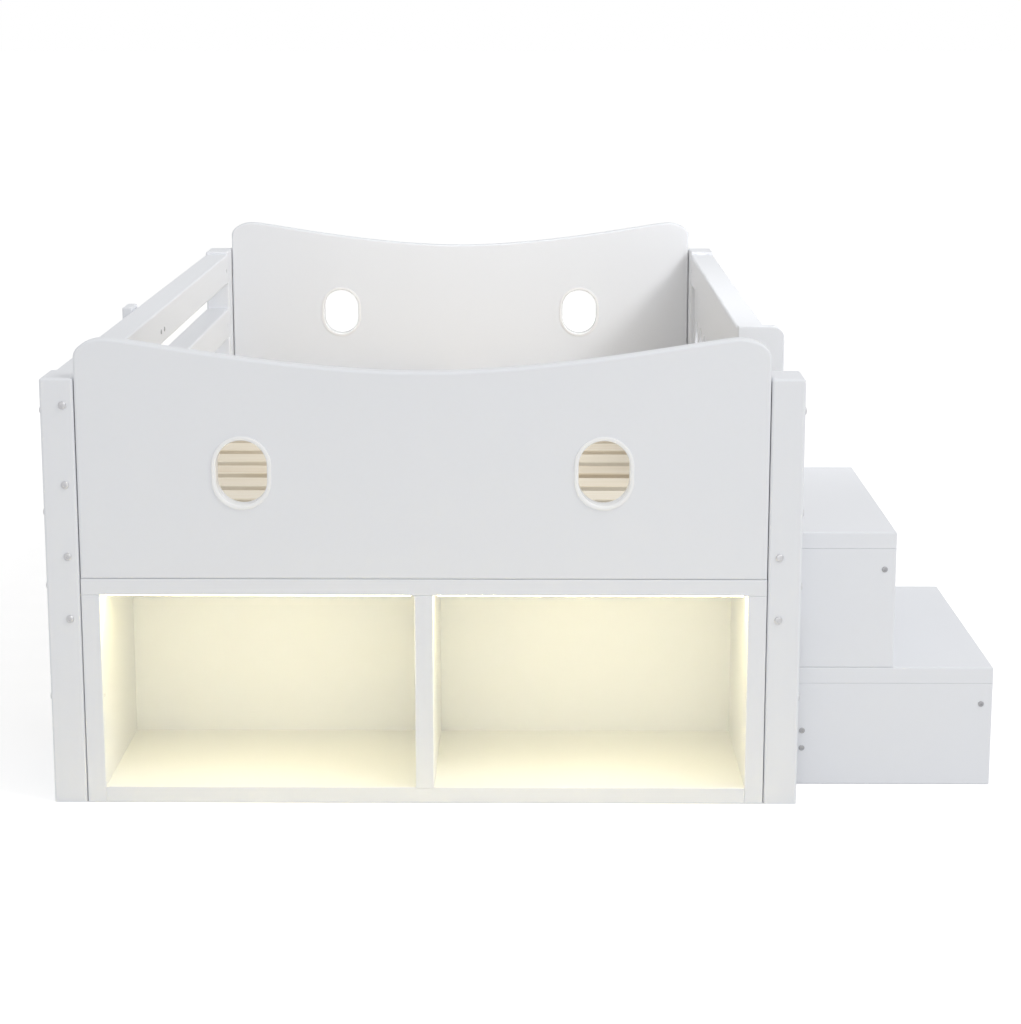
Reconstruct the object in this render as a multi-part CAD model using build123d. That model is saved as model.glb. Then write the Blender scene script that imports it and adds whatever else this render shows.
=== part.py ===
"""Childrens storage bed with two lit cubbies under its foot end, end panels with a dipped
top and oval windows, a guard on each side and two steps beside the way in.

X runs across the bed from its centre line, with the steps on the positive side.
Y runs from the foot end, with the cubbies, to the head end. Z is height above the floor.
All sizes are millimetres. At the end everything is moved so that the origin is the
middle of the footprint of bed and steps together.
"""
import os

from build123d import *

# Space for the mattress and what stands round it
inside_length = 1914
inside_width = 1030
post_width = 50  # across the bed, and the thickness of every rail between posts
post_depth = 90
post_height = 653
post_round = 4
seam = 1.2  # left between a post and what is bolted between two posts

# Side rails and the deck they carry
side_rail_bottom = 266
side_rail_height = 140
rail_round = 4
deck_height = 350  # underside of the slats, and the top of the cubby unit
slat_count = 16
slat_width = 76
slat_thickness = 18
slat_edge = 1.5  # bevel along its corners
slat_end_gap = 2
slat_foot_margin = 25
slat_head_margin = 73
ledger_size = 28
beam_width = 50
beam_height = 60
beam_leg_count = 2
cross_rail_height = 84

# End panels: a board with a dipped top, standing on the cubby unit or the cross rail
panel_thickness = 28
panel_crest_height = 712
panel_dip = 50
panel_corner_width = 46
panel_corner_height = 28
panel_crest_pull = 34  # how far the curve stays flat beside its crest
panel_dip_pull = 204  # and beside the middle of the dip
panel_round = 4

# Windows in the end panels, each lined by a trim in two halves
window_spread = 269  # from the centre line of the bed
window_height = 511.5
window_half_width = 38
window_half_height = 49
trim_lip_width = 6.5
trim_lip_proud = 2
trim_outer_bevel = 1.2
trim_inner_bevel = 3
trim_wall = 2.5
trim_fit = 0.2

# Left guard: two rails with an upright batten outside them
guard_rail_height = 64
guard_top_rail_bottom = 583
guard_low_rail_bottom = 463
batten_width = 64
batten_thickness = 18
batten_centre = 890
batten_round = 3

# Right guard: a rail over a holed infill board, closed by an end board
entrance_end = 600
end_board_thickness = 25
end_board_width = 79
end_board_corner = 20
end_board_round = 2
end_board_step_gap = 4  # least height over the upper tread
infill_recess = 10
infill_thickness = 29
infill_hole_count = 10
infill_hole_width = 74
infill_hole_head = 72  # from the holes up to the top rail
infill_hole_foot = 25  # and down to the side rail

# Cubby unit between the two foot posts
cubby_depth = 298
cubby_wall = 28
cubby_top_thickness = 25
cubby_floor_thickness = 25
cubby_back_thickness = 15
divider_housing = 2  # how deep the divider is let into the floor board
cubby_round = 1.5
light_strip_width = 10
light_strip_thickness = 3
light_strip_set_back = 12
light_strip_end_gap = 6

# Steps beside the bed
step_start = 98
step_width = 540
step_going = 155.5
step_board = 25
lower_step_height = 188.5
upper_step_height = 402
step_round = 2
inner_rail_height = 46
inner_rail_bottom = 50

# Bolts, their barrel nuts and the screws
bolt_radius = 3
bolt_head_radius = 6
bolt_head_height = 2.5
bolt_hole_fit = 0.3
bolt_tip = 8  # past the middle of the nut
nut_radius = 5
nut_length = 18
nut_fit = 0.2
nut_from_end = 30
panel_bolt_bite = 38
fastener_sides = 12  # round fasteners and their holes are kept to few flat sides
rail_bolt_in = 16.5  # from the rail's inner face
side_rail_bolt_inset = 22
guard_bolt_rise = 30
panel_bolt_heights = (450, 604)
cubby_side_bolt_height = 165
screw_radius = 2.5
screw_head_radius = 4.5
screw_head_height = 1.5
screw_bite = 12
step_screw_bite = 36
screw_fit = 0.1
batten_screw_rise = 24
batten_screw_spread = 20
step_screw_inset = 17.5
step_screw_drop = 33
inner_rail_screw_spread = 14

# Sizes that follow
half_inside = inside_width / 2
half_bed = half_inside + post_width
bed_length = inside_length + 2 * panel_thickness
rail_start = post_depth
rail_end = bed_length - post_depth
side_rail_top = side_rail_bottom + side_rail_height
panel_half_width = half_inside - seam
cubby_unit_depth = cubby_depth + cubby_back_thickness
cubby_ceiling = deck_height - cubby_top_thickness
cubby_inner_reach = panel_half_width - cubby_wall
steps_depth = 2 * step_going
step_end = step_start + step_width
foot, head = 0, 1
left, right = -1, 1


def block(x, y, z):
    """A board given by its range along each axis."""
    middle = Pos(sum(x) / 2, sum(y) / 2, sum(z) / 2)
    return middle * Box(x[1] - x[0], y[1] - y[0], z[1] - z[0])


def rounded(body, radius, *axes):
    """The body with its straight edges along the given axes rounded."""
    edges = ShapeList()
    for axis in axes:
        edges += body.edges().filter_by(axis)
    return fillet(edges, radius)


def to_corner(body, side=right, end=foot):
    """Something made for the right foot corner, mirrored to another corner."""
    if side == left:
        body = mirror(body, about=Plane.YZ)
    if end == head:
        body = mirror(body, about=Plane.XZ.offset(-bed_length / 2))
    return body


def group(bodies):
    """Like pieces kept together, each still a solid of its own."""
    return Compound(children=[solid for body in bodies for solid in body.solids()])


def rod(start, direction, radius, length):
    """A round rod of few sides, from its start along the given direction."""
    return Plane(origin=start, z_dir=direction) * extrude(RegularPolygon(radius, fastener_sides), length)


class Fastener:
    """A bolt or screw, from the seat of its head inward along its axis."""

    def __init__(self, seat, inward, length, radius, head_radius, head_height, fit):
        self.seat = Vector(seat)
        self.inward = Vector(inward)
        self.length = length
        self.radius = radius
        self.head_radius = head_radius
        self.head_height = head_height
        self.fit = fit

    def body(self):
        shaft = rod(self.seat, self.inward, self.radius, self.length)
        return shaft + rod(self.seat, -self.inward, self.head_radius, self.head_height)

    def hole(self):
        return rod(self.seat, self.inward, self.radius + self.fit, self.length + self.fit)


def drilled(body, fasteners):
    """The body with a hole for each fastener."""
    for fastener in fasteners:
        body -= fastener.hole()
    return body


def bolt(seat, inward, length):
    return Fastener(seat, inward, length, bolt_radius, bolt_head_radius, bolt_head_height, bolt_hole_fit)


def screw(seat, inward, length):
    return Fastener(seat, inward, length, screw_radius, screw_head_radius, screw_head_height, screw_fit)


# Bolts of the right foot corner, mirrored to the other corners
along, across_bed = Vector(0, 1, 0), Vector(1, 0, 0)


def rail_bolt(height):
    """Through the depth of a post into the end of a rail."""
    seat = (half_inside + rail_bolt_in, 0, height)
    return bolt(seat, along, post_depth + nut_from_end + bolt_tip)


def rail_nut_centre(height):
    return Vector(half_inside + rail_bolt_in, post_depth + nut_from_end, height)


def rail_nut(height):
    """A barrel nut lying across the rail, with the cross hole for its bolt."""
    centre = rail_nut_centre(height)
    nut = rod(centre - across_bed * nut_length / 2, across_bed, nut_radius, nut_length)
    return nut - rod(centre - along * nut_radius, along, bolt_radius + bolt_hole_fit, 2 * nut_radius)


def rail_nut_bore(height):
    """The hole for a barrel nut, open on the rail's inner face."""
    depth = rail_bolt_in + nut_length / 2 + nut_fit
    start = rail_nut_centre(height) - across_bed * rail_bolt_in
    return rod(start, across_bed, nut_radius + nut_fit, depth)


def panel_bolt(height):
    """Through the width of a post into the edge of a board between the posts."""
    seat = (half_bed, panel_thickness / 2, height)
    return bolt(seat, -across_bed, post_width + seam + panel_bolt_bite)


def cubby_side_bolt():
    """Through a post and the side board, its tip just inside the cubby's wall."""
    seat = (half_bed, panel_thickness / 2, cubby_side_bolt_height)
    return bolt(seat, -across_bed, post_width + seam + cubby_wall - bolt_hole_fit)


side_rail_bolt_heights = (side_rail_bottom + side_rail_bolt_inset, side_rail_top - side_rail_bolt_inset)
guard_top_bolt_height = guard_top_rail_bottom + guard_bolt_rise
guard_low_bolt_height = guard_low_rail_bottom + guard_bolt_rise
cubby_top_bolt_height = deck_height - cubby_top_thickness / 2
cross_rail_bolt_height = deck_height - cross_rail_height / 2
rail_bolt_heights = {
    (left, foot): (*side_rail_bolt_heights, guard_low_bolt_height, guard_top_bolt_height),
    (left, head): (*side_rail_bolt_heights, guard_low_bolt_height, guard_top_bolt_height),
    (right, foot): side_rail_bolt_heights,
    (right, head): (*side_rail_bolt_heights, guard_top_bolt_height),
}
corners = list(rail_bolt_heights)


def post_bolts(side, end):
    """Every bolt of one post, still in the right foot corner."""
    bolts = [rail_bolt(height) for height in rail_bolt_heights[side, end]]
    bolts += [panel_bolt(height) for height in panel_bolt_heights]
    if end == foot:
        bolts += [panel_bolt(cubby_top_bolt_height), cubby_side_bolt()]
    else:
        bolts.append(panel_bolt(cross_rail_bolt_height))
    return bolts


def corner_nuts(side, end):
    """The barrel nuts in the rails that meet one post."""
    return [rail_nut(height) for height in rail_bolt_heights[side, end]]


def post(side, end):
    """A corner post with rounded edges, drilled for its bolts."""
    body = block((half_inside, half_bed), (0, post_depth), (0, post_height))
    edges = body.edges().filter_by(Axis.Z) + body.edges().group_by(Axis.Z)[-1]
    body = drilled(fillet(edges, post_round), post_bolts(side, end))
    return to_corner(body, side, end)


def rail(side, bottom, height, bolt_heights, start=rail_start):
    """A rail along one side, bolted to the head post and, unless it starts later, to the foot post."""
    body = block((half_inside, half_bed), (start, rail_end), (bottom, bottom + height))
    body = rounded(body, rail_round, Axis.Y)
    ends = (foot, head) if start == rail_start else (head,)
    for end in ends:
        for bolt_height in bolt_heights:
            body -= to_corner(rail_bolt(bolt_height).hole() + rail_nut_bore(bolt_height), end=end)
    return to_corner(body, side)


def drilled_at_both_posts(body, fasteners):
    """A board between two posts with a hole for each fastener at both its ends."""
    for fastener in fasteners:
        body -= fastener.hole()
        body -= to_corner(fastener.hole(), left)
    return body


def panel_face():
    """The end panel's outline, drawn from its centre line and mirrored."""
    crest = panel_half_width - panel_corner_width
    dip_height = panel_crest_height - panel_dip
    corner_bottom = panel_crest_height - panel_corner_height
    dip_curve = Bezier(
        (0, dip_height),
        (panel_dip_pull, dip_height),
        (crest - panel_crest_pull, panel_crest_height),
        (crest, panel_crest_height),
    )
    corner_middle = (crest, corner_bottom)
    corner = EllipticalCenterArc(corner_middle, panel_corner_width, panel_corner_height, arc_size=90)
    side_edge = Line((panel_half_width, corner_bottom), (panel_half_width, deck_height))
    foot_edge = Line((panel_half_width, deck_height), (0, deck_height))
    half = Curve() + [dip_curve, corner, side_edge, foot_edge]
    return make_face(half + mirror(half, about=Plane.YZ))


def upright_oval(half_width, half_height):
    """An oval of two half circles joined by straight sides, standing on end."""
    return SlotOverall(2 * half_height, 2 * half_width, rotation=90)


def window_rod(margin, start, depth):
    """A rod through the panel's thickness in the window's shape, larger all round by the margin."""
    middle = Pos(0, start, window_height) * Plane.XZ.location
    return extrude(middle * upright_oval(window_half_width + margin, window_half_height + margin), -depth)


def at_windows(body):
    return [Pos(side * window_spread, 0, 0) * body for side in (left, right)]


def end_panel(end):
    """An end panel, cut for its windows and drilled for its bolts."""
    body = extrude(Plane.XZ * panel_face(), -panel_thickness)
    faces = body.faces().sort_by(Axis.Y)
    body = fillet(faces[0].edges() + faces[-1].edges(), panel_round)
    for cut in at_windows(window_rod(trim_wall + trim_fit, 0, panel_thickness)):
        body -= cut
    body = drilled_at_both_posts(body, [panel_bolt(height) for height in panel_bolt_heights])
    return to_corner(body, end=end)


def trim_half():
    """Half of a window trim: a bevelled lip on the panel's outer face and a sleeve to mid thickness."""
    lip = window_rod(trim_lip_width, -trim_lip_proud, trim_lip_proud)
    sleeve = window_rod(trim_wall, 0, panel_thickness / 2 - trim_fit)
    ring = lip + sleeve - window_rod(0, -trim_lip_proud, panel_thickness)
    front = ring.faces().sort_by(Axis.Y)[0]
    ring = chamfer(front.outer_wire().edges(), trim_outer_bevel)
    front = ring.faces().sort_by(Axis.Y)[0]
    return chamfer(front.inner_wires()[0].edges(), trim_inner_bevel)


def window_trim(side, end):
    """Both halves of one window's trim, meeting inside the panel."""
    half = Pos(window_spread, 0, 0) * trim_half()
    other = mirror(half, about=Plane.XZ.offset(-panel_thickness / 2))
    return to_corner(group([half, other]), side, end)


def slat(number):
    """One slat of the deck, counted from the foot end."""
    span = inside_length - slat_foot_margin - slat_head_margin - slat_width
    start = panel_thickness + slat_foot_margin + number * span / (slat_count - 1)
    reach = half_inside - slat_end_gap
    body = block((-reach, reach), (start, start + slat_width), (deck_height, deck_height + slat_thickness))
    return chamfer(body.edges().filter_by(Axis.X), slat_edge)


def ledger(side):
    """The strip along a side rail that the slat ends rest on."""
    reach = (half_inside - ledger_size, half_inside)
    head_panel = bed_length - panel_thickness
    body = block(reach, (cubby_unit_depth, head_panel), (deck_height - ledger_size, deck_height))
    return to_corner(body, side)


def centre_beam():
    """The beam under the middle of the slats, from the cubby unit to the cross rail."""
    head_panel = bed_length - panel_thickness
    half = beam_width / 2
    body = block((-half, half), (cubby_unit_depth, head_panel), (deck_height - beam_height, deck_height))
    return chamfer(body.edges().filter_by(Axis.Y), slat_edge)


def beam_legs():
    """Square legs under the centre beam, evenly spaced."""
    head_panel = bed_length - panel_thickness
    pitch = (head_panel - cubby_unit_depth) / (beam_leg_count + 1)
    half = beam_width / 2
    legs = []
    for number in range(1, beam_leg_count + 1):
        centre = cubby_unit_depth + number * pitch
        leg = block((-half, half), (centre - half, centre + half), (0, deck_height - beam_height))
        legs.append(chamfer(leg.edges().filter_by(Axis.Z), slat_edge))
    return group(legs)


def cross_rail():
    """The rail between the head posts that carries the head panel."""
    reach = (-panel_half_width, panel_half_width)
    body = block(reach, (0, panel_thickness), (deck_height - cross_rail_height, deck_height))
    body = drilled_at_both_posts(rounded(body, rail_round, Axis.X), [panel_bolt(cross_rail_bolt_height)])
    return to_corner(body, end=head)


def batten_screws():
    """Two screws through each left rail into the batten, heads on the rail's inner face."""
    screws = []
    for rail_bottom in (side_rail_bottom, guard_low_rail_bottom, guard_top_rail_bottom):
        for offset in (-batten_screw_spread, batten_screw_spread):
            seat = (-half_inside, batten_centre + offset, rail_bottom + batten_screw_rise)
            screws.append(screw(seat, -across_bed, post_width + screw_bite))
    return screws


def batten():
    """The upright outside the left rails that ties them at mid length."""
    half = batten_width / 2
    reach = (-half_bed - batten_thickness, -half_bed)
    body = block(reach, (batten_centre - half, batten_centre + half), (side_rail_bottom, post_height))
    edges = body.edges().filter_by(Axis.Z) + body.edges().group_by(Axis.Z)[-1]
    return drilled(fillet(edges, batten_round), batten_screws())


def end_board():
    """The upright board that closes the right guard beside the entrance."""
    reach = (half_inside, half_inside + end_board_width)
    depth = (entrance_end, entrance_end + end_board_thickness)
    foot_height = max(side_rail_top, upper_step_height + end_board_step_gap)
    body = block(reach, depth, (foot_height, post_height))
    top_corner = body.edges().filter_by(Axis.Y).sort_by(Axis.X)[-2:].sort_by(Axis.Z)[-1]
    body = fillet(top_corner, end_board_corner)
    faces = body.faces().sort_by(Axis.Y)
    return fillet(faces[0].edges() + faces[-1].edges(), end_board_round)


def guard_infill():
    """The board under the right guard's rail, with evenly spaced upright oval holes."""
    start = entrance_end + end_board_thickness
    inner = half_inside + infill_recess
    body = block((inner, inner + infill_thickness), (start, rail_end), (side_rail_top, guard_top_rail_bottom))
    web = (rail_end - start - infill_hole_count * infill_hole_width) / (infill_hole_count + 1)
    hole_bottom = side_rail_top + infill_hole_foot
    hole_top = guard_top_rail_bottom - infill_hole_head
    for number in range(infill_hole_count):
        centre = start + web + infill_hole_width / 2 + number * (web + infill_hole_width)
        place = Pos(inner, centre, (hole_bottom + hole_top) / 2) * Plane.YZ.location
        shape = upright_oval(infill_hole_width / 2, (hole_top - hole_bottom) / 2)
        body -= extrude(place * shape, infill_thickness)
    return body


def front_rounded(body):
    """A cubby board with the edges of its front face rounded."""
    return fillet(body.faces().sort_by(Axis.Y)[0].edges(), cubby_round)


def cubby_top():
    """The top board over both cubbies, bolted to the posts."""
    reach = (-panel_half_width, panel_half_width)
    body = front_rounded(block(reach, (0, cubby_unit_depth), (cubby_ceiling, deck_height)))
    return drilled_at_both_posts(body, [panel_bolt(cubby_top_bolt_height)])


def cubby_side(side):
    """A side board of the cubby unit, bolted to its post."""
    reach = (panel_half_width - cubby_wall, panel_half_width)
    body = front_rounded(block(reach, (0, cubby_unit_depth), (0, cubby_ceiling)))
    return to_corner(drilled(body, [cubby_side_bolt()]), side)


def cubby_divider():
    """The board between the cubbies, its foot let into the floor board."""
    half = cubby_wall / 2
    height = (cubby_floor_thickness - divider_housing, cubby_ceiling)
    return front_rounded(block((-half, half), (0, cubby_depth), height))


def cubby_floor():
    """One board under both cubbies, with a housing across it for the divider."""
    reach = (-cubby_inner_reach, cubby_inner_reach)
    body = front_rounded(block(reach, (0, cubby_depth), (0, cubby_floor_thickness)))
    half = cubby_wall / 2
    housing = (cubby_floor_thickness - divider_housing, cubby_floor_thickness)
    return body - block((-half, half), (0, cubby_depth), housing)


def cubby_back():
    """The back board, behind the floor board and the divider and between the side boards."""
    reach = (-cubby_inner_reach, cubby_inner_reach)
    return block(reach, (cubby_depth, cubby_unit_depth), (0, cubby_ceiling))


def light_strip(side):
    """A light strip stuck under the top board, just behind the front edge."""
    reach = (cubby_wall / 2 + light_strip_end_gap, cubby_inner_reach - light_strip_end_gap)
    depth = (light_strip_set_back, light_strip_set_back + light_strip_width)
    return to_corner(block(reach, depth, (cubby_ceiling - light_strip_thickness, cubby_ceiling)), side)


def step_tread(depth, top):
    """A tread over the full width of the steps, its upper edges rounded."""
    body = block((half_bed, half_bed + depth), (step_start, step_end), (top - step_board, top))
    edges = body.edges().group_by(Axis.Z)[-1] + body.edges().filter_by(Axis.Z)
    return fillet(edges, step_round)


def step_screws():
    """Screws of the steps' front panels; the back panels have the same."""
    riser_screw_bottoms = ((steps_depth, lower_step_height), (step_going, upper_step_height))
    length = step_board + step_screw_bite
    seats = []
    for depth, top in riser_screw_bottoms:
        seats.append((half_bed + depth - step_screw_inset, step_start, top - step_board - step_screw_drop))
    rail_middle = inner_rail_bottom + inner_rail_height / 2
    for offset in (-inner_rail_screw_spread, inner_rail_screw_spread):
        seats.append((half_bed + step_screw_inset, step_start, rail_middle + offset))
    return [screw(seat, along, length) for seat in seats]


def to_step_back(body):
    """Something on the steps' front, mirrored to their back."""
    return mirror(body, about=Plane.XZ.offset(-(step_start + step_end) / 2))


def step_panel(depth, bottom, top):
    """A front panel of the steps under its tread."""
    thickness = (step_start, step_start + step_board)
    body = block((half_bed, half_bed + depth), thickness, (bottom, top - step_board))
    body = fillet(body.faces().sort_by(Axis.Y)[0].edges(), step_round)
    return drilled(body, step_screws())


def step_riser(depth, bottom, top):
    """The upright board under a tread's front edge, between the panels."""
    reach = (half_bed + depth - step_board, half_bed + depth)
    inside = (step_start + step_board, step_end - step_board)
    body = drilled(block(reach, inside, (bottom, top - step_board)), step_screws())
    for fastener in step_screws():
        body -= to_step_back(fastener.hole())
    return body


def steps_inner_rail():
    """The low rail along the steps' bed side."""
    inside = (step_start + step_board, step_end - step_board)
    height = (inner_rail_bottom, inner_rail_bottom + inner_rail_height)
    body = drilled(block((half_bed, half_bed + step_board), inside, height), step_screws())
    for fastener in step_screws():
        body -= to_step_back(fastener.hole())
    return body


def left_rail(bottom, height, bolt_heights):
    """A rail on the left side, also drilled for the batten's screws."""
    return drilled(rail(left, bottom, height, bolt_heights), batten_screws())


def build_nodes():
    """Every piece by its name."""
    nodes = {}
    side_names = {left: "left", right: "right"}
    end_names = {foot: "front", head: "back"}
    for side, end in corners:
        nodes[f"post_{end_names[end]}_{side_names[side]}"] = post(side, end)
        nodes[f"window_trim_{end_names[end]}_{side_names[side]}"] = window_trim(side, end)
    for end, name in end_names.items():
        nodes[f"end_panel_{name}"] = end_panel(end)

    nodes["side_rail_left"] = left_rail(side_rail_bottom, side_rail_height, side_rail_bolt_heights)
    nodes["side_rail_right"] = rail(right, side_rail_bottom, side_rail_height, side_rail_bolt_heights)
    top_rail = left_rail(guard_top_rail_bottom, guard_rail_height, [guard_top_bolt_height])
    low_rail = left_rail(guard_low_rail_bottom, guard_rail_height, [guard_low_bolt_height])
    nodes["guard_left_top_rail"] = top_rail
    nodes["guard_left_low_rail"] = low_rail
    nodes["guard_left_batten"] = batten()
    guard_start = entrance_end + end_board_thickness
    nodes["guard_right_top_rail"] = rail(
        right, guard_top_rail_bottom, guard_rail_height, [guard_top_bolt_height], guard_start
    )
    nodes["guard_right_infill"] = guard_infill()
    nodes["guard_right_end_board"] = end_board()

    for number in range(slat_count):
        nodes[f"slat_{number + 1:02d}"] = slat(number)
    nodes["centre_beam"] = centre_beam()
    nodes["centre_legs"] = beam_legs()
    nodes["cross_rail_back"] = cross_rail()

    nodes["cubby_top"] = cubby_top()
    nodes["cubby_floor"] = cubby_floor()
    nodes["cubby_divider"] = cubby_divider()
    nodes["cubby_back"] = cubby_back()
    for side, name in side_names.items():
        nodes[f"ledger_{name}"] = ledger(side)
        nodes[f"cubby_side_{name}"] = cubby_side(side)
    nodes["light_strips"] = group([light_strip(side) for side in (left, right)])

    nodes["step_tread_lower"] = step_tread(steps_depth, lower_step_height)
    nodes["step_tread_upper"] = step_tread(step_going, upper_step_height)
    lower_front = step_panel(steps_depth, 0, lower_step_height)
    upper_front = step_panel(step_going, lower_step_height, upper_step_height)
    nodes["step_front_lower"] = lower_front
    nodes["step_front_upper"] = upper_front
    nodes["step_back_lower"] = to_step_back(lower_front)
    nodes["step_back_upper"] = to_step_back(upper_front)
    nodes["step_riser_lower"] = step_riser(steps_depth, 0, lower_step_height)
    nodes["step_riser_upper"] = step_riser(step_going, lower_step_height, upper_step_height)
    nodes["step_inner_rail"] = steps_inner_rail()

    bolts, nuts = [], []
    for side, end in corners:
        bolts += [to_corner(fastener.body(), side, end) for fastener in post_bolts(side, end)]
        nuts += [to_corner(nut, side, end) for nut in corner_nuts(side, end)]
    nodes["frame_bolts"] = group(bolts)
    nodes["barrel_nuts"] = group(nuts)
    screws = [fastener.body() for fastener in batten_screws() + step_screws()]
    screws += [to_step_back(fastener.body()) for fastener in step_screws()]
    nodes["wood_screws"] = group(screws)
    return nodes


def main():
    os.makedirs("parts", exist_ok=True)
    origin = Vector((steps_depth - batten_thickness) / 2, bed_length / 2, 0)
    for name, body in build_nodes().items():
        export_step(Pos(-origin) * body, f"parts/{name}.step")


main()
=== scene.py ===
"""Looks for the childrens storage bed: painted boards, pine slats, lit cubbies, trims and fasteners.

X runs across the bed with the steps at its positive end, Y from the foot end with the cubbies to
the head end, and Z is height above the floor. All sizes are metres.
"""
import math

import bmesh
import bpy
from mathutils import Matrix, Vector


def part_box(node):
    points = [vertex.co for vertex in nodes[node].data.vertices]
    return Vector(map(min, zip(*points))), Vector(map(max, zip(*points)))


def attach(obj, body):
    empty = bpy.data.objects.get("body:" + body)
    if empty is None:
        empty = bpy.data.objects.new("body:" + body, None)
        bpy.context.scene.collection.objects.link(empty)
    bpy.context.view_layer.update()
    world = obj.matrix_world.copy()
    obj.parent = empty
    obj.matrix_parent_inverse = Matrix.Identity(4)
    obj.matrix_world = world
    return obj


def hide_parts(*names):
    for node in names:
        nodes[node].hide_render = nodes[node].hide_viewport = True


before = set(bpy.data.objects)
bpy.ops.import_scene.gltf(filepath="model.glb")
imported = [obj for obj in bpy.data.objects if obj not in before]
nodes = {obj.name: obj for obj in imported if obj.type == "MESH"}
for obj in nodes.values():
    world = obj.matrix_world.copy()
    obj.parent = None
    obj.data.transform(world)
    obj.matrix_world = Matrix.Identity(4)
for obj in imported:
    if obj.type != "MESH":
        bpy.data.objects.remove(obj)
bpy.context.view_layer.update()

# Sizes shared with the solids
panel_thickness = 0.028
window_half_width = 0.038
window_half_height = 0.049
trim_wall = 0.0025
trim_lip = 0.0065
trim_proud = 0.002
bolt_radius = 0.003
bolt_head_radius = 0.006
bolt_head_height = 0.0025
screw_radius = 0.0025
screw_head_radius = 0.0045
screw_head_height = 0.0015
slat_pitch = 0.116
first_slat = -0.932

# Sizes of the shown trims and fasteners
trim_inner_rounding = 0.003
trim_outer_rounding = 0.0013
trim_end_gap = 0.0002
trim_sides = 96
fastener_sides = 24
bolt_key_half_width = 0.002
screw_key_half_width = 0.0015
key_lip = 0.0002
head_search_depth = 0.0021
same_point = 1e-6
sharp_edge = math.radians(35)
strip_led_spacing = 0.0167

# Shares of a fastener's radius, head or key
tip_radius_share = 0.6
tip_length_share = 0.5
key_depth_share = 0.75
key_taper = 0.97
dome = ((0.98, 0), (1, 0.18), (0.985, 0.42), (0.93, 0.66), (0.84, 0.86), (0.72, 0.97), (0.62, 1))

# Roughness and shine of the finishes, and the share of a colour that is left where it is darkest
paint_roughness = 0.36
paint_shine = 0.42
paint_darkening = 0.972
pine_roughness = 0.52
trim_roughness = 0.16
zinc_dulling = 0.78

# Depths of relief, for a height that goes from 0 to 1
paint_relief = 0.00012
pine_relief = 0.00025
trim_relief = 0.0001
zinc_relief = 0.00004

# Light, floor and camera
strip_strength = 44.0
world_level = 0.75
floor_glow = 0.42
floor_reach = 60
camera_place = (0.0139, -4.529, 1.1912)
camera_down_tilt = 11.759
camera_left_turn = 0.488
camera_lens = 85.64
camera_film_width = 36
camera_far_limit = 200


# Surfaces that vary


class Amount:
    """A number that varies over a surface, worked with in plain sums."""

    def __init__(self, finish, socket):
        self.finish = finish
        self.socket = socket

    def combine(self, operation, first, second):
        return self.finish.add("ShaderNodeMath", {"operation": operation}, {0: first, 1: second})

    def __add__(self, other):
        return self.combine("ADD", self, other)

    def __radd__(self, other):
        return self.combine("ADD", other, self)

    def __sub__(self, other):
        return self.combine("SUBTRACT", self, other)

    def __mul__(self, other):
        return self.combine("MULTIPLY", self, other)

    def __rmul__(self, other):
        return self.combine("MULTIPLY", other, self)

    def __truediv__(self, other):
        return self.combine("DIVIDE", self, other)


class Finish:
    """One finish. Its nodes are added one at a time, each with its settings and its sockets."""

    def __init__(self, name):
        self.material = bpy.data.materials.new(name)
        self.material.use_nodes = True
        self.tree = self.material.node_tree
        self.surface = self.tree.nodes["Principled BSDF"]
        self.out = self.tree.nodes["Material Output"]

    def add(self, kind, settings, sockets, out=0):
        node = self.tree.nodes.new(kind)
        for name, value in settings.items():
            if name == "stops":
                self.set_stops(node.color_ramp, value)
            else:
                setattr(node, name, value)
        for name, value in sockets.items():
            self.put(node.inputs[name], value)
        return Amount(self, node.outputs[out])

    def set_stops(self, ramp, stops):
        while len(ramp.elements) < len(stops):
            ramp.elements.new(0.5)
        for element, (place, colour) in zip(ramp.elements, stops):
            element.position = place
            element.color = (*colour, 1)

    def put(self, socket, value):
        if isinstance(value, Amount):
            self.tree.links.new(value.socket, socket)
        elif socket.type == "RGBA" and len(value) == 3:
            socket.default_value = (*value, 1)
        else:
            socket.default_value = value

    def set_surface(self, **values):
        """Sets sockets of the surface by name, with a low line for each space in the name."""
        for name, value in values.items():
            self.put(self.surface.inputs[name.replace("_", " ")], value)

    def point(self):
        """The point on the object in metres."""
        return self.add("ShaderNodeTexCoord", {}, {}, "Object")

    def along(self, axis):
        return self.add("ShaderNodeSeparateXYZ", {}, {0: self.point()}, axis)

    def stretched_point(self, stretch):
        return self.add("ShaderNodeVectorMath", {"operation": "MULTIPLY"}, {0: self.point(), 1: stretch})

    def noise(self, scale, detail, stretch=(1, 1, 1), rough=0.5):
        sockets = {"Scale": scale, "Detail": detail, "Roughness": rough}
        sockets["Vector"] = self.stretched_point(stretch)
        return self.add("ShaderNodeTexNoise", {}, sockets, "Fac")

    def colour_mix(self, share, first, second):
        """The first colour, giving way to the second as the share goes from 0 to 1."""
        settings = {"data_type": "RGBA", "clamp_factor": True}
        return self.add("ShaderNodeMix", settings, {0: share, 6: first, 7: second}, 2)

    def bump(self, height, depth):
        return self.add("ShaderNodeBump", {}, {"Height": height, "Strength": 1.0, "Distance": depth})


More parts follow.
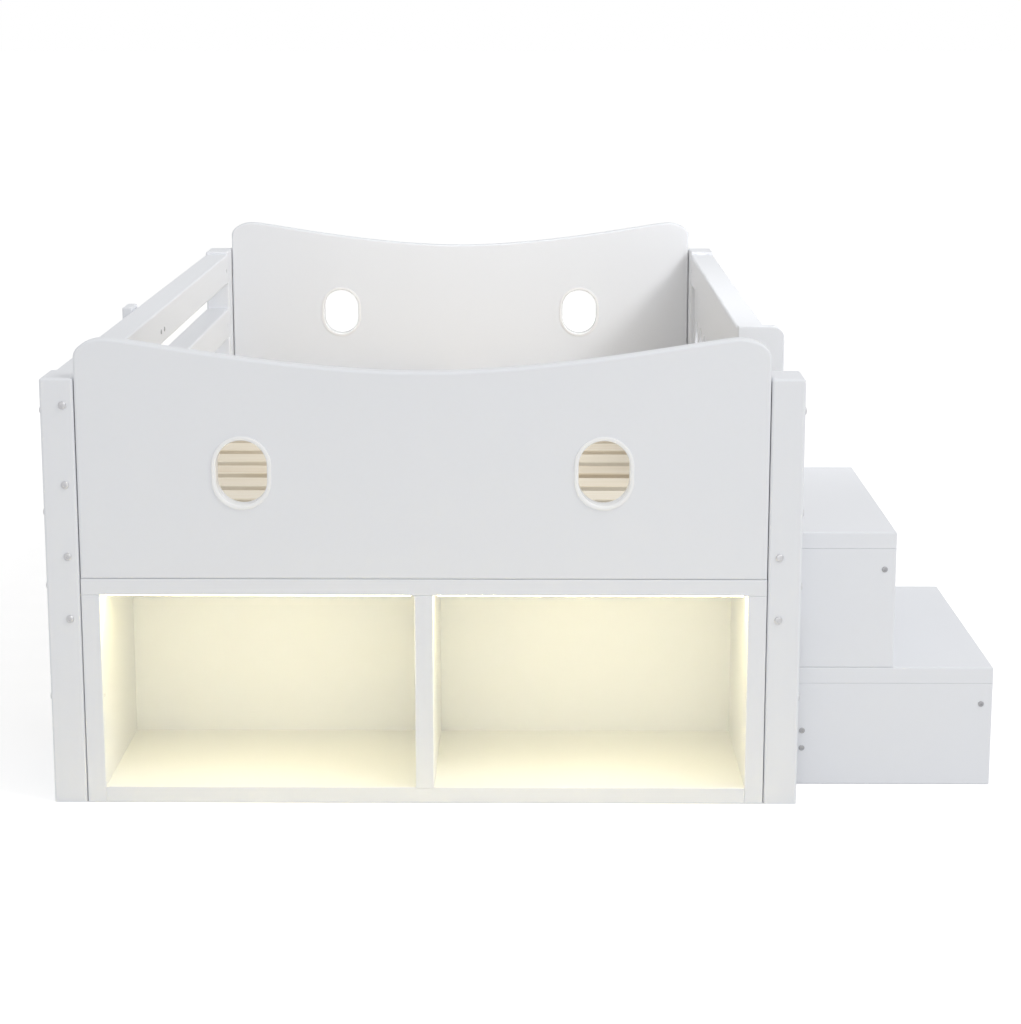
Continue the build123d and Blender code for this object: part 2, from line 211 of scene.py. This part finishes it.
def painted(name, stretch, colour, grain_share):
    """Sprayed semi-gloss paint over a board, with the board's grain just felt through it."""
    finish = Finish(name)
    cloud = finish.noise(scale=1.6, detail=3)
    peel = finish.noise(scale=520, detail=2)
    grain = finish.noise(scale=90, detail=3, stretch=stretch, rough=0.6)
    darker = tuple(paint_darkening * part for part in colour)
    tone = finish.colour_mix((cloud - 0.35) * 1.6, darker, colour)
    relief = finish.bump(grain * grain_share + peel * 0.25, paint_relief)
    rough = paint_roughness + 0.1 * cloud + 0.06 * peel
    finish.set_surface(Base_Color=tone, Roughness=rough, Normal=relief, Specular_IOR_Level=paint_shine)
    return finish.material


def bare_pine():
    """Planed pine: streaks along the slat, soft rings, a tone of its own for every slat."""
    finish = Finish("bare_pine")
    slats_along = (finish.along("Y") - first_slat) / slat_pitch
    slat_number = finish.add("ShaderNodeMath", {"operation": "FLOOR"}, {0: slats_along})
    own_tone = finish.add("ShaderNodeTexWhiteNoise", {"noise_dimensions": "1D"}, {"W": slat_number}, "Value")
    streak = finish.noise(scale=24, detail=5, stretch=(0.05, 6, 6), rough=0.65)
    bands = {"wave_type": "BANDS", "bands_direction": "Y", "wave_profile": "SIN"}
    ring_sockets = {"Vector": finish.stretched_point((0.12, 1, 1.4)), "Scale": 26, "Distortion": 7,
                    "Detail": 3, "Detail Scale": 1.2}
    rings = finish.add("ShaderNodeTexWave", bands, ring_sockets, "Fac")
    share = 0.55 * streak + 0.3 * rings + 0.35 * own_tone - 0.12
    pale, warm, dark = (0.86, 0.80, 0.68), (0.80, 0.71, 0.56), (0.62, 0.48, 0.31)
    stops = ((0.2, pale), (0.62, warm), (1.0, dark))
    tone = finish.add("ShaderNodeValToRGB", {"stops": stops}, {"Fac": share})
    relief = finish.bump(streak + 0.4 * rings, pine_relief)
    finish.set_surface(Base_Color=tone, Roughness=pine_roughness + 0.16 * streak, Normal=relief)
    return finish.material


def gloss_trim():
    """Smooth moulded trim, glossier than the boards."""
    finish = Finish("gloss_trim")
    sheen = finish.noise(scale=14, detail=2)
    tone = finish.colour_mix(sheen, (0.86, 0.865, 0.87), (0.90, 0.90, 0.905))
    relief = finish.bump(sheen, trim_relief)
    finish.set_surface(Base_Color=tone, Roughness=trim_roughness + 0.08 * sheen, Normal=relief)
    return finish.material


def lit_strip(strength):
    """A warm light strip: a milky cover, brighter over each lamp behind it."""
    finish = Finish("lit_strip")
    turn = finish.along("X") * (2 * math.pi / strip_led_spacing)
    wave = finish.add("ShaderNodeMath", {"operation": "SINE"}, {0: turn})
    glow = finish.colour_mix(0.5 + 0.5 * wave, (1.0, 0.82, 0.36), (1.0, 0.88, 0.46))
    finish.set_surface(Base_Color=(0.95, 0.92, 0.80), Roughness=0.4)
    finish.set_surface(Emission_Color=glow, Emission_Strength=strength)
    return finish.material


def zinc(name, colour, rough):
    """Zinc-plated steel with fine turning marks and a few duller patches."""
    finish = Finish(name)
    marks = finish.noise(scale=900, detail=2)
    patches = finish.noise(scale=140, detail=3)
    duller = tuple(zinc_dulling * part for part in colour)
    tone = finish.colour_mix(patches, colour, duller)
    relief = finish.bump(marks, zinc_relief)
    finish.set_surface(Base_Color=tone, Metallic=1.0, Roughness=rough + 0.14 * patches, Normal=relief)
    return finish.material


# Turned and swept pieces


def round_shape(angle, radius):
    return radius


def six_sided_shape(angle, half_width):
    """A key socket, whose half width is measured to its flats."""
    side = math.pi / 3
    return half_width / math.cos((angle + side / 2) % side - side / 2)


def ring_of(radius, height, shape):
    """One ring of points round the Z axis. The shape says how far out it lies at each angle."""
    points = []
    for number in range(fastener_sides):
        angle = 2 * math.pi * number / fastener_sides
        reach = shape(angle, radius)
        points.append(Vector((reach * math.cos(angle), reach * math.sin(angle), height)))
    return points


def add_turned(mesh, rings, place):
    """Skins a row of rings and closes both ends."""
    rows = []
    for radius, height, shape in rings:
        rows.append([mesh.verts.new(place @ point) for point in ring_of(radius, height, shape)])
    for lower, upper in zip(rows, rows[1:]):
        for number in range(fastener_sides):
            after = (number + 1) % fastener_sides
            mesh.faces.new((lower[number], lower[after], upper[after], upper[number]))
    mesh.faces.new(list(reversed(rows[0])))
    mesh.faces.new(rows[-1])


def finish_piece(name, mesh, finish, stands_for):
    """Turns worked mesh into a shown piece of the bed, in place of the nodes it stands for."""
    bmesh.ops.recalc_face_normals(mesh, faces=mesh.faces)
    data = bpy.data.meshes.new(name)
    mesh.to_mesh(data)
    mesh.free()
    data.shade_smooth()
    data.set_sharp_from_angle(angle=sharp_edge)
    data.materials.append(finish)
    piece = bpy.data.objects.new(name, data)
    bpy.context.scene.collection.objects.link(piece)
    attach(piece, "root")
    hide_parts(*stands_for)
    return piece


def loose_bodies(node):
    """The points of each separate body in a node."""
    mesh = bmesh.new()
    mesh.from_mesh(nodes[node].data)
    bmesh.ops.remove_doubles(mesh, verts=mesh.verts, dist=same_point)
    left = set(mesh.verts)
    bodies = []
    while left:
        stack, body = [left.pop()], []
        while stack:
            vertex = stack.pop()
            body.append(vertex.co.copy())
            for edge in vertex.link_edges:
                other = edge.other_vert(vertex)
                if other in left:
                    left.remove(other)
                    stack.append(other)
        bodies.append(body)
    mesh.free()
    return bodies


def axis_place(points):
    """Where a fastener sits: its head's top at the origin, its length running down from there."""
    low = Vector([min(point[axis] for point in points) for axis in range(3)])
    high = Vector([max(point[axis] for point in points) for axis in range(3)])
    size = high - low
    long_axis = max(range(3), key=lambda axis: size[axis])
    middle = (low + high) / 2

    def reach(end):
        """How far the points near one end stand from the fastener's axis."""
        near = [point - middle for point in points if abs(point[long_axis] - end) < head_search_depth]
        for offset in near:
            offset[long_axis] = 0
        return max(offset.length for offset in near)

    outward = Vector((0, 0, 0))
    top = middle.copy()
    head_at_high = reach(high[long_axis]) > reach(low[long_axis])
    outward[long_axis] = 1 if head_at_high else -1
    top[long_axis] = high[long_axis] if head_at_high else low[long_axis]
    turn = outward.to_track_quat("Z", "Y").to_matrix().to_4x4()
    return Matrix.Translation(top) @ turn, size[long_axis]


def fastener_rings(radius, head_radius, head_height, key, length):
    """A bolt or screw from its tip up to its domed head and down into its key socket."""
    tip = [
        (tip_radius_share * radius, -length, round_shape),
        (radius, -length + tip_length_share * radius, round_shape),
        (radius, -head_height, round_shape),
    ]
    head = [(across * head_radius, up * head_height - head_height, round_shape) for across, up in dome]
    socket = [
        (key, 0, six_sided_shape),
        (key_taper * key, -key_lip, six_sided_shape),
        (key_taper * key, -key_depth_share * head_height, six_sided_shape),
    ]
    return tip + head + socket


def fasteners(name, node, radius, head_radius, head_height, key, finish):
    mesh = bmesh.new()
    for body in loose_bodies(node):
        place, length = axis_place(body)
        add_turned(mesh, fastener_rings(radius, head_radius, head_height, key, length), place)
    return finish_piece(name, mesh, finish, [node])


def oval_outline():
    """Points round the window, two half circles joined by straight sides, each with its way out."""
    rise = window_half_height - window_half_width
    points = []
    for number in range(trim_sides):
        angle = 2 * math.pi * (number + 0.5) / trim_sides
        out = Vector((math.cos(angle), math.sin(angle)))
        middle = Vector((0, rise if out.y > 0 else -rise))
        points.append((middle + window_half_width * out, out))
    return points


def rounding(middle, radius, first, last, steps):
    """Points of a rounding, from one angle to another in degrees."""
    turns = [math.radians(first + (last - first) * step / steps) for step in range(steps + 1)]
    return [(middle[0] + radius * math.cos(turn), middle[1] + radius * math.sin(turn)) for turn in turns]


def trim_section():
    """The trim's section: distance out from the opening, and depth in from the panel's face."""
    half = panel_thickness / 2 - trim_end_gap
    inner, outer = trim_inner_rounding, trim_outer_rounding
    inner_round = rounding((inner, inner - trim_proud), inner, first=180, last=270, steps=7)
    outer_round = rounding((trim_lip - outer, outer - trim_proud), outer, first=270, last=360, steps=5)
    return [(0, half), *inner_round, *outer_round, (trim_lip, 0.0), (trim_wall, 0.0), (trim_wall, half)]


def window_trim(node):
    """Both halves of a window's trim as smooth swept rings."""
    low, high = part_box(node)
    middle = (low + high) / 2
    section = trim_section()
    mesh = bmesh.new()
    for face, inward in ((low.y + trim_proud, 1), (high.y - trim_proud, -1)):
        rows = []
        for point, out in oval_outline():
            row = []
            for offset, depth in section:
                spot = point + offset * out
                row.append(mesh.verts.new((middle.x + spot.x, face + inward * depth, middle.z + spot.y)))
            rows.append(row)
        for number, first in enumerate(rows):
            after = rows[(number + 1) % trim_sides]
            for corner in range(len(section)):
                beyond = (corner + 1) % len(section)
                mesh.faces.new((first[corner], first[beyond], after[beyond], after[corner]))
    return mesh


# Finishes on the boards


def named(*starts):
    return [name for name in nodes if name.startswith(starts)]


def give(names, finish):
    for name in names:
        mesh = nodes[name].data
        mesh.materials.clear()
        mesh.materials.append(finish)


white = (0.815, 0.83, 0.862)
upright_paint = painted("upright_paint", (1, 1, 0.05), white, 0.5)
lengthwise_paint = painted("lengthwise_paint", (1, 0.05, 1), white, 0.5)
crosswise_paint = painted("crosswise_paint", (0.05, 1, 1), white, 0.5)
board_paint = painted("board_paint", (1, 1, 1), white, 0.12)
pine = bare_pine()
trim_gloss = gloss_trim()
warm_light = lit_strip(strip_strength)
bright_zinc = zinc("bright_zinc", (0.80, 0.80, 0.82), 0.24)
dark_zinc = zinc("dark_zinc", (0.52, 0.52, 0.54), 0.30)

give(named("post_", "guard_left_batten", "guard_right_end_board"), upright_paint)
give(named("side_rail_", "guard_left_top_rail", "guard_left_low_rail"), lengthwise_paint)
give(named("guard_right_top_rail", "guard_right_infill", "step_inner_rail"), lengthwise_paint)
give(named("cross_rail_"), crosswise_paint)
give(named("end_panel_", "cubby_", "step_front_", "step_back_", "step_riser_", "step_tread_"), board_paint)
give(named("slat_", "ledger_", "centre_"), pine)
give(named("light_strips"), warm_light)
give(named("frame_bolts", "barrel_nuts"), bright_zinc)
give(named("wood_screws"), dark_zinc)
give(named("window_trim_"), trim_gloss)

for name in named("window_trim_"):
    swept_name = name.replace("window_trim", "swept_trim")
    finish_piece(swept_name, window_trim(name), trim_gloss, [name])

fasteners("socket_bolts", "frame_bolts", bolt_radius, bolt_head_radius, bolt_head_height,
          bolt_key_half_width, bright_zinc)
fasteners("socket_screws", "wood_screws", screw_radius, screw_head_radius, screw_head_height,
          screw_key_half_width, dark_zinc)


# Floor, light and camera


def pale_floor():
    """A plain floor that shows white and keeps the bed's shadow."""
    finish = Finish("pale_floor")
    dust = finish.noise(scale=3, detail=2)
    tone = finish.colour_mix(dust, (0.80, 0.80, 0.80), (0.82, 0.82, 0.82))
    finish.set_surface(Base_Color=tone, Roughness=0.9, Specular_IOR_Level=0.0)
    seen = finish.add("ShaderNodeLightPath", {}, {}, "Is Camera Ray")
    glow = finish.add("ShaderNodeEmission", {}, {"Color": (1, 1, 1), "Strength": seen * floor_glow})
    both = finish.add("ShaderNodeAddShader", {}, {0: Amount(finish, finish.surface.outputs[0]), 1: glow})
    finish.put(finish.out.inputs["Surface"], both)
    return finish.material


def make_floor(reach):
    mesh = bmesh.new()
    corners = ((-reach, -reach), (reach, -reach), (reach, reach), (-reach, reach))
    mesh.faces.new([mesh.verts.new((x, y, 0)) for x, y in corners])
    data = bpy.data.meshes.new("floor")
    mesh.to_mesh(data)
    mesh.free()
    data.materials.append(pale_floor())
    floor = bpy.data.objects.new("floor", data)
    bpy.context.scene.collection.objects.link(floor)


def make_world(level):
    """White to the camera, and even light of the given level on the bed."""
    world = bpy.data.worlds.new("white_room")
    bpy.context.scene.world = world
    world.use_nodes = True
    tree = world.node_tree
    path = tree.nodes.new("ShaderNodeLightPath")
    background = tree.nodes["Background"]
    background.inputs["Color"].default_value = (1, 1, 1, 1)
    larger = tree.nodes.new("ShaderNodeMath")
    larger.operation = "MAXIMUM"
    tree.links.new(path.outputs["Is Camera Ray"], larger.inputs[0])
    tree.links.new(path.outputs["Is Transmission Ray"], larger.inputs[1])
    scaled = tree.nodes.new("ShaderNodeMath")
    scaled.operation = "MULTIPLY_ADD"
    tree.links.new(larger.outputs[0], scaled.inputs[0])
    scaled.inputs[1].default_value = 1 - level
    scaled.inputs[2].default_value = level
    tree.links.new(scaled.outputs[0], background.inputs["Strength"])


def lamp(name, place, aim, size, power, spread=180):
    """A square lamp. Its power is in watts and the spread of its beam in degrees."""
    data = bpy.data.lights.new(name, "AREA")
    data.shape = "SQUARE"
    data.size = size
    data.energy = power
    data.spread = math.radians(spread)
    light = bpy.data.objects.new(name, data)
    light.location = place
    light.rotation_euler = (Vector(aim) - Vector(place)).to_track_quat("-Z", "Y").to_euler()
    bpy.context.scene.collection.objects.link(light)


def make_camera():
    data = bpy.data.cameras.new("camera")
    data.lens = camera_lens
    data.sensor_width = camera_film_width
    data.clip_end = camera_far_limit
    camera = bpy.data.objects.new("camera", data)
    camera.location = camera_place
    camera.rotation_euler = (math.radians(90 - camera_down_tilt), 0, math.radians(camera_left_turn))
    bpy.context.scene.collection.objects.link(camera)
    bpy.context.scene.camera = camera


make_floor(floor_reach)
make_world(world_level)
lamp("high_right_lamp", place=(2.45, -2.15, 4.07), aim=(0, 0, 0.3), size=1.8, power=52)
lamp("low_front_lamp", place=(0.2, -5.0, 0.9), aim=(0, 0, 0.35), size=1.8, power=12)
lamp("back_panel_lamp", place=(1.3, -0.7, 1.65), aim=(-0.3, 0.95, 0.45), size=0.4, power=3.1, spread=75)
make_camera()
bpy.context.scene.view_settings.view_transform = "Standard"
